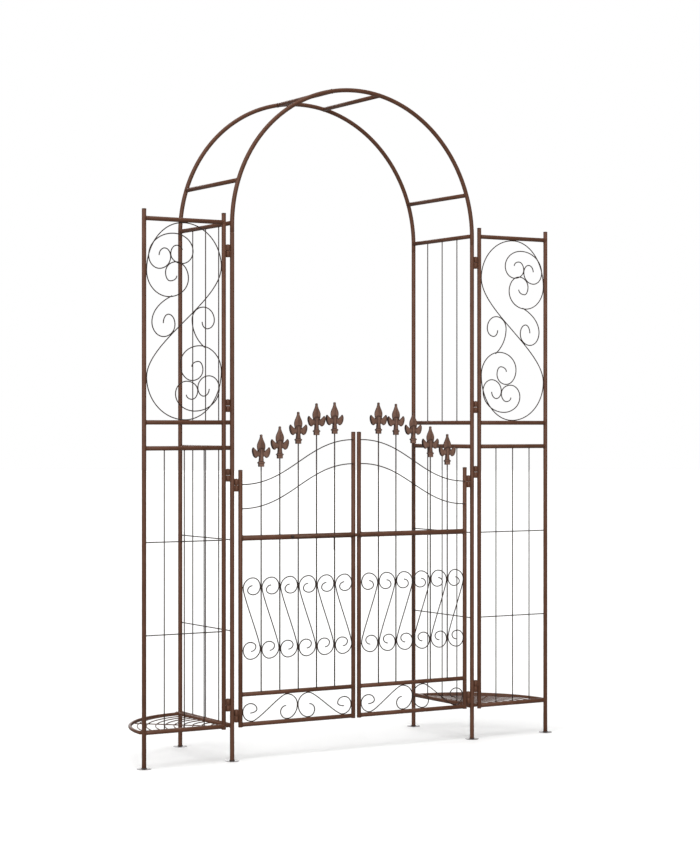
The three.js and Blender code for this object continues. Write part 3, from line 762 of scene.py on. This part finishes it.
def knuckle_shape(shell, axis_x, low, high, tab_x, seed):
    """A hinge knuckle with rounded ends and the tab that joins it to its post."""
    edge = 0.7 * MM
    shell.turned([(KNUCKLE - edge, low), (KNUCKLE, low + edge), (KNUCKLE, high - edge),
                  (KNUCKLE - edge, high)], (axis_x, FRONT, 0), sides=TUBE_SIDES)
    centre = ((axis_x + tab_x) / 2, FRONT, (low + high) / 2)
    shell.plate(centre, (abs(tab_x - axis_x), KNUCKLE_TAB, high - low - 1.0 * MM))
    for way in (-1, 1):
        for i in range(5):
            z = low + (high - low) * (0.16 + 0.17 * i)
            inset = tab_x - math.copysign(2.0 * MM, tab_x - axis_x)
            shell.blob((inset, FRONT + way * 4.6 * MM, z), TAB_BEAD, seed + i + way)


def pin_head(shell, x, z):
    shell.turned([(2.6 * MM, -1 * MM), (3.0 * MM, 0.2 * MM), (2.8 * MM, 0.6 * MM), (1.8 * MM, 0.9 * MM),
                  (0.3 * MM, 1.0 * MM)], (x, FRONT, z), sides=20)


def add_couplers(hand, side):
    axis = side * (HALF + WING_IN / 2)
    parting = 0.35 * MM
    for i in range(1, 5):
        node = f"{hand}_wing_coupler_{i}"
        low, high = low_of(node).z, high_of(node).z
        split = (low + high) / 2
        reach = WING_IN / 2 - TUBE + SINK
        lower, upper = Shell(), Shell()
        knuckle_shape(lower, axis, low, split - parting, axis - side * reach, i)
        knuckle_shape(upper, axis, split + parting, high, axis + side * reach, i + 3)
        pin_head(upper, axis, high)
        piece(f"{node}_lower_knuckle", lower, "root", node)
        piece(f"{node}_upper_knuckle", upper, "root", node)


def add_wings():
    span = WING_OUT - WING_IN
    for hand, side in SIDES.items():
        def place(along, off, z, side=side):
            return (side * (HALF + WING_IN + along), FRONT + off, z)
        name = f"{hand}_wing"
        outer, inner = Shell(), Shell()
        outer_x, inner_x = side * (HALF + WING_OUT), side * (HALF + WING_IN)
        outer.line((outer_x, FRONT, FOOT_THICKNESS - 1 * MM), (outer_x, FRONT, WING_TOP), TUBE)
        inner.line((inner_x, FRONT, WING_TAIL), (inner_x, FRONT, WING_TOP), TUBE)
        piece(f"{name}_outer_tube", outer, "root", f"{name}_outer_post")
        piece(f"{name}_inner_tube", inner, "root", f"{name}_inner_post")
        for which, x in (("outer", outer_x), ("inner", inner_x)):
            cap = Shell()
            tube_cap(cap, x, FRONT, WING_TOP)
            piece(f"{name}_{which}_cap", cap, "root", f"{name}_{which}_post", "bolt_paint")
        foot_plate(f"{name}_foot", outer_x, FRONT, f"{name}_outer_post")
        rails(f"{name}_upper_rails", (UPPER_MID, TOP_RAIL), span, place, f"{name}_scroll_panel", side * 2)
        lower = f"{name}_lower_screen"
        rails(f"{name}_lower_rails", (BOTTOM_RAIL, LOWER_MID), span, place, lower, side * 3)
        screen_wires(f"{name}_lower_wires", span, BOTTOM_RAIL, LOWER_MID, CROSS_WIRES, place, lower)
        wing_scrolls(hand, side, f"{name}_scroll_panel")
        add_couplers(hand, side)


# ---- Planter shelves ----
TIP_SETBACK = 10 * MM  # from the wing's middle plane to the tip of the rim
REAR_GAP = 19 * MM  # from the rim's rearmost point to the rear post's middle
SHELF_PITCH = 28.6 * MM
SHORTEST_ARC = 40 * MM


def shelf_arc(reach_x, reach_y, near_x, near_y, steps):
    start, end = math.asin(near_y / reach_y), math.acos(near_x / reach_x)
    turns = [start + (end - start) * i / steps for i in range(steps + 1)]
    return [(reach_x * math.cos(t), reach_y * math.sin(t)) for t in turns]


def add_shelves():
    reach_x = high_of("right_shelf_rim").x - RIM - HALF
    reach_y = DEPTH - REAR_GAP
    side_tube = low_of("right_shelf_rim").x + RIM - HALF
    longest_arc = high_of("right_shelf_wires").x - HALF - 1.5 * MM
    for hand, side in SIDES.items():
        def lay(line, z=BOTTOM_RAIL, side=side):
            return [(side * (HALF + x), FRONT + y, z) for x, y in line]

        rim = Shell()
        bend = lay(shelf_arc(reach_x, reach_y, side_tube, TIP_SETBACK, 60))
        rim.bar(bend, RIM, (0, 0, 1), chamfer=0.8 * MM)
        rim.line(*lay([(side_tube, side_tube - RIM), (side_tube, DEPTH + 2 * MM)]), RIM)
        rim.line(*lay([(side_tube, side_tube), (reach_x - 2 * MM, side_tube)]), RIM)
        piece(f"{hand}_shelf_rim_tube", rim, "root", f"{hand}_shelf_rim")

        wires = Shell()
        ends = side_tube + RIM - SINK
        reach = longest_arc
        while reach > SHORTEST_ARC:
            deep = reach * reach_y / reach_x
            arc = lay(shelf_arc(reach, deep, ends, ends, max(10, round(reach / (8 * MM)))))
            wires.bar(arc, WIRE, (0, 0, 1), WIRE_SIDES)
            for spot in (arc[0], arc[-1]):
                wires.blob(spot, SHELF_END_BEAD, reach * 90)
            cross = reach * deep / math.hypot(reach, deep)
            wires.blob(lay([(cross, cross)], BOTTOM_RAIL - WIRE)[0], SHELF_CROSSING_BEAD, reach * 70)
            reach -= SHELF_PITCH
        rim_cross = reach_x * reach_y / math.hypot(reach_x, reach_y) - 0.6 * RIM
        spoke = lay([(ends, ends), (rim_cross, rim_cross)], BOTTOM_RAIL - CROSSING)
        wires.bar(spoke, WIRE, (0, 0, 1), WIRE_SIDES)
        node = f"{hand}_shelf_wires"
        # The shelf wires take the lighter tube paint in place of the wire paint, a painted highlight for the
        # top light falling on them.
        piece(f"{hand}_shelf_grid", wires, "root", node, "wire_paint", "tube_paint")


# ---- Gate ----
ROW_CENTRE = 450 * MM
ROW_CURL_HEIGHT = 27 * MM
ROW_CURL_OFF = 103 * MM  # from the row's middle to the middle of a curl
ROW_TOUCH_OFF = 101 * MM  # from the row's middle to the weld on a picket
SMALL_EASE = 24 * MM  # pull of the bend in a row or panel scroll
SWEEP_PULL = 0.42
# How far below the top of the hinge stile and of the meeting stile each swept wire ends.
SWEEP_DROPS = {"upper": (44 * MM, 23 * MM), "lower": (121 * MM, 102 * MM)}


def leaf_place(side):
    def place(u, off, z):
        return (side * (HALF - u), FRONT + off, z)
    return place


def add_pintles(hand, side):
    axis = side * (HALF - KNUCKLE_AT)
    post = side * (HALF - TUBE + SINK)
    for i in (1, 2):
        node = f"{hand}_gate_pintle_{i}"
        low = low_of(node).z
        shell = Shell()
        knuckle_shape(shell, axis, low, low + KNUCKLE_LENGTH, post, i + side)
        shell.line((axis, FRONT, low + KNUCKLE_LENGTH - 1 * MM), (axis, FRONT, high_of(node).z), HINGE_PIN)
        piece(f"{node}_knuckle", shell, "root", node)


def add_stiles(hand, side, body):
    place = leaf_place(side)
    for which, u, top in (("hinge", STILE, HINGE_TOP), ("meeting", MEETING, MEETING_TOP)):
        node = f"{hand}_gate_{which}_stile"
        tube, cap = Shell(), Shell()
        tube.line(place(u, 0, LEAF_LOW), place(u, 0, top), TUBE)
        tube_cap(cap, *place(u, 0, top))
        piece(f"{node}_tube", tube, body, node)
        piece(f"{node}_cap", cap, body, node, "bolt_paint")
    for i in (1, 2):
        low = low_of(f"{hand}_gate_pintle_{i}").z + KNUCKLE_LENGTH + 0.5 * MM
        shell = Shell()
        axis, stile_face = side * (HALF - KNUCKLE_AT), side * (HALF - STILE + TUBE - SINK)
        knuckle_shape(shell, axis, low, low + KNUCKLE_LENGTH, stile_face, i * 3)
        pin_head(shell, axis, low + KNUCKLE_LENGTH)
        piece(f"{hand}_gate_knuckle_{i}", shell, body, f"{hand}_gate_hinge_stile")


def add_gate_rails(hand, side, body):
    place = leaf_place(side)
    for which, height, radius, node in (
        ("mid_rail", GATE_MID, GATE_RAIL, "mid_rail"),
        ("panel_rail", PANEL_RAIL, TUBE, "picket_screen"),
        ("bottom_rail", GATE_LOW, TUBE, "bottom_panel"),
    ):
        shell = Shell()
        cross_tube(shell, place(STILE, 0, height), place(MEETING, 0, height), radius, seed=height * 10 + side)
        piece(f"{hand}_gate_{which}_tube", shell, body, f"{hand}_gate_{node}")


def add_pickets(hand, side, body):
    place = leaf_place(side)
    node = f"{hand}_gate_picket_screen"
    panel_reach = math.sqrt(TUBE ** 2 - PICKET_OFF ** 2)
    mid_reach = math.sqrt(GATE_RAIL ** 2 - PICKET_OFF ** 2)
    for i, (u, foot) in enumerate(zip(PICKETS, SPEAR_FEET), 1):
        shell = Shell()
        shell.line(place(u, PICKET_OFF, PANEL_RAIL), place(u, PICKET_OFF, foot + 4 * MM), PICKET, 16)
        for height in (PANEL_RAIL + panel_reach, GATE_MID - mid_reach, GATE_MID + mid_reach):
            shell.blob(place(u, PICKET_OFF, height), PICKET_BEAD, i + height * 20)
        piece(f"{hand}_gate_picket_{i}", shell, body, node, "wire_paint")


def add_scroll_row(hand, side, body):
    place = leaf_place(side)
    node = f"{hand}_gate_picket_screen"
    half_width = PICKET_STEP / 2 - PICKET + PRESS - WIRE
    curl = [(x * half_width, z * ROW_CURL_HEIGHT - ROW_CURL_OFF) for x, z in ROW_CURL]
    line = double_scroll(curl, SMALL_EASE)
    for bay in range(6):
        middle_u = PICKETS[0] + (bay - 0.5) * PICKET_STEP
        shell = Shell()
        shell.scroll([place(middle_u + x, PICKET_OFF, ROW_CENTRE + z) for x, z in line])
        for way in (-1, 1):
            for turn in (-1, 1):
                height = ROW_CENTRE + way * ROW_TOUCH_OFF
                spot = place(middle_u + turn * (half_width + WIRE), PICKET_OFF, height)
                shell.blob(spot, ROW_BEAD, bay + way + turn * 0.5)
        piece(f"{hand}_gate_row_scroll_{bay + 1}", shell, body, node, "wire_paint")


def add_swept_wires(hand, side, body):
    place = leaf_place(side)
    node = f"{hand}_gate_picket_screen"
    front = PICKET_OFF - (PICKET + WIRE - PRESS)
    beside = math.sqrt((TUBE + WIRE) ** 2 - front ** 2) - SINK
    start, end = STILE + beside, MEETING - beside
    for which, (low_drop, high_drop) in SWEEP_DROPS.items():
        ends = [(start, HINGE_TOP - low_drop), (end, MEETING_TOP - high_drop)]
        bend = ease_line(*ends, (1, 0), SWEEP_PULL * (end - start), 80)
        line = [ends[0], *bend, ends[1]]
        shell = Shell()
        shell.bar([place(u, front, z) for u, z in line], WIRE, sides=WIRE_SIDES)
        for i, u in enumerate(PICKETS):
            height = np.interp(u, [p[0] for p in line], [p[1] for p in line])
            shell.blob(place(u, (front + PICKET_OFF) / 2, height), SWEEP_BEAD, i + low_drop * 9)
        piece(f"{hand}_gate_{which}_sweep", shell, body, node, "wire_paint")


def share_line(points, width, height):
    return [(x * width, z * height) for x, z in points]


def add_panel_scrolls(hand, side, body):
    place = leaf_place(side)
    centre = (STILE + MEETING) / 2
    low = GATE_LOW + TUBE + WIRE - PRESS
    high = PANEL_RAIL - TUBE - WIRE + 0.4 * MM
    half_width = (MEETING - STILE) / 2 - TUBE - WIRE
    touching = half_width - WIRE + 0.4 * MM
    tail = curl_line(share_line(SMALL_PANEL_CURL, touching, high - low), False)[::-1]
    head = curl_line(share_line(BIG_PANEL_CURL, touching, high - low), False)
    line = [*tail, *ease_line(tail[-1], head[0], (1, 0), SMALL_EASE), *head]
    touches = share_line([(0.165, 0), (0, 0.39), (0.81, 0), (0.8, 1), (1.0, 0.55)], touching, high - low)
    for which, turn in (("outer", -1), ("inner", 1)):
        def lay(x, z, turn=turn):
            return place(centre + turn * (half_width - x), 0, low + z)
        shell = Shell()
        shell.scroll([lay(x, z) for x, z in line])
        for i, (x, z) in enumerate(touches):
            shell.blob(lay(x, z), PANEL_BEAD, i + turn)
        node = f"{hand}_gate_bottom_panel"
        piece(f"{hand}_gate_{which}_panel_scroll", shell, body, node, "wire_paint")


# ---- Spear finials, in millimetres from the middle of the foot ----
# Height, half width, half thickness and squareness, up the socket, blade and knob.
SPEAR_SECTIONS = [
    (0.0, 9.5, 4.8, 3.4), (0.8, 10.3, 5.3, 3.4), (8.8, 10.3, 5.3, 3.4), (9.8, 9.7, 4.9, 3.0),
    (10.8, 12.9, 5.6, 2.8), (12.2, 13.9, 6.0, 2.6), (14.2, 13.9, 6.0, 2.6), (15.6, 12.0, 5.2, 2.4),
    (16.8, 9.6, 4.4, 2.2), (20.0, 9.4, 3.8, 2.1), (31.0, 8.2, 3.5, 2.0), (44.0, 9.6, 3.4, 2.0),
    (50.0, 12.0, 3.5, 2.1), (54.0, 13.8, 3.7, 2.2), (58.0, 14.9, 3.9, 2.3), (64.0, 15.7, 4.0, 2.3),
    (70.0, 15.4, 4.0, 2.3), (75.0, 13.8, 3.9, 2.3), (79.0, 12.0, 3.7, 2.2), (83.0, 9.9, 3.5, 2.2),
    (87.0, 8.0, 3.3, 2.1), (91.5, 6.1, 3.2, 2.0), (95.0, 5.0, 3.2, 2.0), (97.0, 4.5, 3.3, 2.0),
    (98.6, 4.8, 4.0, 2.0), (101.6, 4.7, 4.0, 2.0), (103.0, 3.4, 3.0, 2.0), (103.9, 1.0, 1.0, 2.0),
]
# Raised column down the shaft, and the low ridge up the blade above it.
SPEAR_COLUMN = [(16.0, 8.0, 4.0, 2.2), (18.0, 8.0, 5.9, 2.2), (31.0, 7.0, 6.2, 2.2), (46.0, 6.6, 6.2, 2.2),
                (52.0, 6.2, 6.1, 2.2), (55.6, 4.4, 5.6, 2.2), (57.4, 1.6, 4.6, 2.2)]
SPEAR_RIDGE = [(60.0, 1.7, 4.2, 2.0), (63.0, 1.9, 5.2, 2.0), (74.0, 1.6, 5.1, 2.0), (84.0, 1.2, 4.4, 2.0),
               (92.0, 0.8, 3.6, 2.0)]
# The bent bodies have a centre line, half widths and half thicknesses. A side leaf, down from its tip.
SPEAR_LEAF = [(28.8, 62.6, 1.2, 1.2), (28.9, 61.2, 3.0, 2.6), (28.4, 57.6, 4.5, 3.4), (26.6, 53.0, 6.8, 3.8),
              (22.6, 46.0, 10.0, 3.9), (20.9, 40.0, 9.8, 3.9), (20.2, 35.0, 8.4, 3.8), (20.2, 31.6, 6.6, 3.5),
              (20.3, 29.6, 4.6, 2.9), (20.4, 28.2, 2.0, 1.5)]
# The web between the shaft and a leaf.
SPEAR_WEB = [(0.0, 42.2, 9.8, 3.4), (9.0, 42.2, 9.8, 3.4), (15.0, 42.2, 9.6, 3.4), (21.0, 42.6, 8.2, 3.4)]
# The raised rim outside a leaf.
SPEAR_LEAF_RIM = [(27.6, 61.0, 1.0, 3.4), (30.2, 59.6, 1.3, 4.4), (31.4, 55.0, 1.4, 4.9),
                  (31.5, 49.5, 1.4, 5.0), (30.4, 43.5, 1.4, 5.0), (28.2, 37.5, 1.4, 4.9),
                  (25.6, 32.6, 1.4, 4.7), (21.4, 30.0, 1.2, 4.2), (17.0, 31.2, 1.0, 3.8)]
# The arch over the column, across the foot of the blade.
SPEAR_ARCH = [(-11.6, 47.0, 0.9, 4.2), (-10.8, 53.0, 1.2, 4.9), (-7.6, 58.0, 1.4, 5.3), (0.0, 60.6, 1.4, 5.5),
              (7.6, 58.0, 1.4, 5.3), (10.8, 53.0, 1.2, 4.9), (11.6, 47.0, 0.9, 4.2)]
SPEAR_SIDES = 32
SPEAR_VOXEL = 0.62 * MM
SPEAR_SOFTENING = 2


def flat_loft(shell, sections):
    """Rings of superellipses, each with a centre, half width, half thickness, squareness and way across."""
    rings = []
    for centre, half_width, half_thickness, square, way in sections:
        ring = []
        for i in range(SPEAR_SIDES):
            turn = 2 * math.pi * i / SPEAR_SIDES
            c, s = math.cos(turn), math.sin(turn)
            a = math.copysign(abs(c) ** (2 / square), c) * half_width
            b = math.copysign(abs(s) ** (2 / square), s) * half_thickness
            ring.append((centre[0] + way[0] * a, b, centre[1] + way[1] * a))
        rings.append([tuple(v * MM for v in p) for p in ring])
    shell.rings(rings)


def bent_sections(line):
    """Sections square to a flat centre line of (x, z, half width, half thickness)."""
    found = []
    for i, (x, z, half_width, half_thickness) in enumerate(line):
        before, after = line[max(i - 1, 0)], line[min(i + 1, len(line) - 1)]
        run = Vector((after[0] - before[0], after[1] - before[1])).normalized()
        found.append(((x, z), half_width, half_thickness, 2.0, (-run.y, run.x)))
    return found


def spear_mesh():
    """One finial, standing on the origin, fused out of its shaft, blade, arch and leaves."""
    shell = Shell()
    for upright in (SPEAR_SECTIONS, SPEAR_COLUMN, SPEAR_RIDGE):
        flat_loft(shell, [((0, z), w, t, q, (1, 0)) for z, w, t, q in upright])
    flat_loft(shell, bent_sections(SPEAR_ARCH))
    for side in (-1, 1):
        for line in (SPEAR_LEAF, SPEAR_WEB, SPEAR_LEAF_RIM):
            flat_loft(shell, bent_sections([(side * x, z, w, t) for x, z, w, t in line]))
    blank = bpy.data.objects.new("spear_blank", shell_mesh("spear_blank", shell))
    put(blank)
    remesh = blank.modifiers.new("fuse", "REMESH")
    remesh.mode = "VOXEL"
    remesh.voxel_size = SPEAR_VOXEL
    soften = blank.modifiers.new("soften", "SMOOTH")
    soften.iterations = SPEAR_SOFTENING
    depsgraph = bpy.context.evaluated_depsgraph_get()
    fused = bpy.data.meshes.new_from_object(blank.evaluated_get(depsgraph))
    bpy.data.objects.remove(blank)
    return fused


def add_spears(hand, side, body, blank):
    for i, (u, foot) in enumerate(zip(PICKETS, SPEAR_FEET), 1):
        node = f"{hand}_gate_spear_{i}"
        mesh = blank.copy()
        mesh.name = f"{node}_casting"
        shift = Vector((side * (HALF - u), FRONT + PICKET_OFF, foot))
        for vertex in mesh.vertices:
            vertex.co += shift
        mesh.shade_smooth()
        seat(f"{node}_casting", mesh, body, node, "cast_paint")


# ---- Slide bolt ----
HANDLE_SETBACK = 94 * MM  # from the tip of the rod
RAIL_GUIDE_SETBACKS = (112 * MM, 175 * MM)
RING_LENGTH = 8 * MM


def guide_ring(shell, x, length, back):
    """A ring round the bolt's line and the foot that joins it to what is behind it."""
    bore, edge = 4.2 * MM, 0.4 * MM
    profile = [(bore, edge), (bore + edge, 0), (SLEEVE - edge, 0), (SLEEVE, edge),
               (SLEEVE, length - edge), (SLEEVE - edge, length), (bore + edge, length), (bore, length - edge)]
    turns = [2 * math.pi * i / 32 for i in range(32)]
    start = x - length / 2
    shell.rings([[(start + along, BOLT_Y + radius * math.cos(t), GATE_MID + radius * math.sin(t))
                  for t in turns] for radius, along in profile], loop=True)
    front = BOLT_Y + 4.6 * MM
    shell.plate((x, (front + back) / 2, GATE_MID), (length, back - front, 7.6 * MM), 0.6 * MM)


def add_slide_bolt():
    low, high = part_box("slide_bolt")
    tip, end = high[0], low[0]
    rod = Shell()
    rod.bar([(end + 1 * MM, BOLT_Y, GATE_MID), (tip, BOLT_Y, GATE_MID)], BOLT, chamfer=1.0 * MM)
    piece("slide_bolt_rod", rod, "latch", "slide_bolt", "bolt_paint")
    collar = Shell()
    edge = 0.8 * MM
    collar.turned([(SLEEVE - edge, 0), (SLEEVE, edge), (SLEEVE, RING_LENGTH - edge),
                   (SLEEVE - edge, RING_LENGTH)], (end, BOLT_Y, GATE_MID), "x")
    piece("slide_bolt_collar", collar, "latch", "slide_bolt", "bolt_paint", "wire_paint")
    handle = Shell()
    handle_x = tip - HANDLE_SETBACK
    drop = low[2] + 2 * MM
    handle.line((handle_x, BOLT_Y, GATE_MID), (handle_x, BOLT_Y, drop), 2.5 * MM, 20, chamfer=0.8 * MM)
    handle.turned([(2.2 * MM, -1.6 * MM), (2.9 * MM, -0.6 * MM), (2.9 * MM, 1.2 * MM), (2.2 * MM, 2.2 * MM)],
                  (handle_x, BOLT_Y, drop), sides=20)
    piece("slide_bolt_handle", handle, "latch", "slide_bolt", "bolt_paint", "wire_paint")

    guides = Shell()
    for setback in RAIL_GUIDE_SETBACKS:
        guide_ring(guides, tip - setback, RING_LENGTH, FRONT - 0.7 * GATE_RAIL)
    piece("bolt_rail_guides", guides, "left_gate", "left_gate_mid_rail")
    guide = Shell()
    guide_ring(guide, middle("left_gate_meeting_stile").x, RING_LENGTH, FRONT - 0.5 * TUBE)
    piece("bolt_stile_guide", guide, "left_gate", "left_gate_meeting_stile")

    keeper = Shell()
    length = 2 * half_size("bolt_keeper_sleeve").x
    guide_ring(keeper, middle("bolt_keeper_sleeve").x, length, FRONT - 0.7 * GATE_RAIL)
    piece("bolt_keeper_tube", keeper, "right_gate", "bolt_keeper_sleeve")


def add_gate():
    blank = spear_mesh()
    for hand, side in SIDES.items():
        body = f"{hand}_gate"
        add_pintles(hand, side)
        add_stiles(hand, side, body)
        add_gate_rails(hand, side, body)
        add_pickets(hand, side, body)
        add_scroll_row(hand, side, body)
        add_swept_wires(hand, side, body)
        add_panel_scrolls(hand, side, body)
        add_spears(hand, side, body, blank)
    bpy.data.meshes.remove(blank)


add_camera()
add_studio()
add_floor()
MATERIALS = make_materials()
add_arch_posts()
add_hoops()
add_hoop_rungs()
add_ladders()
add_wings()
add_shelves()
add_gate()
add_slide_bolt()
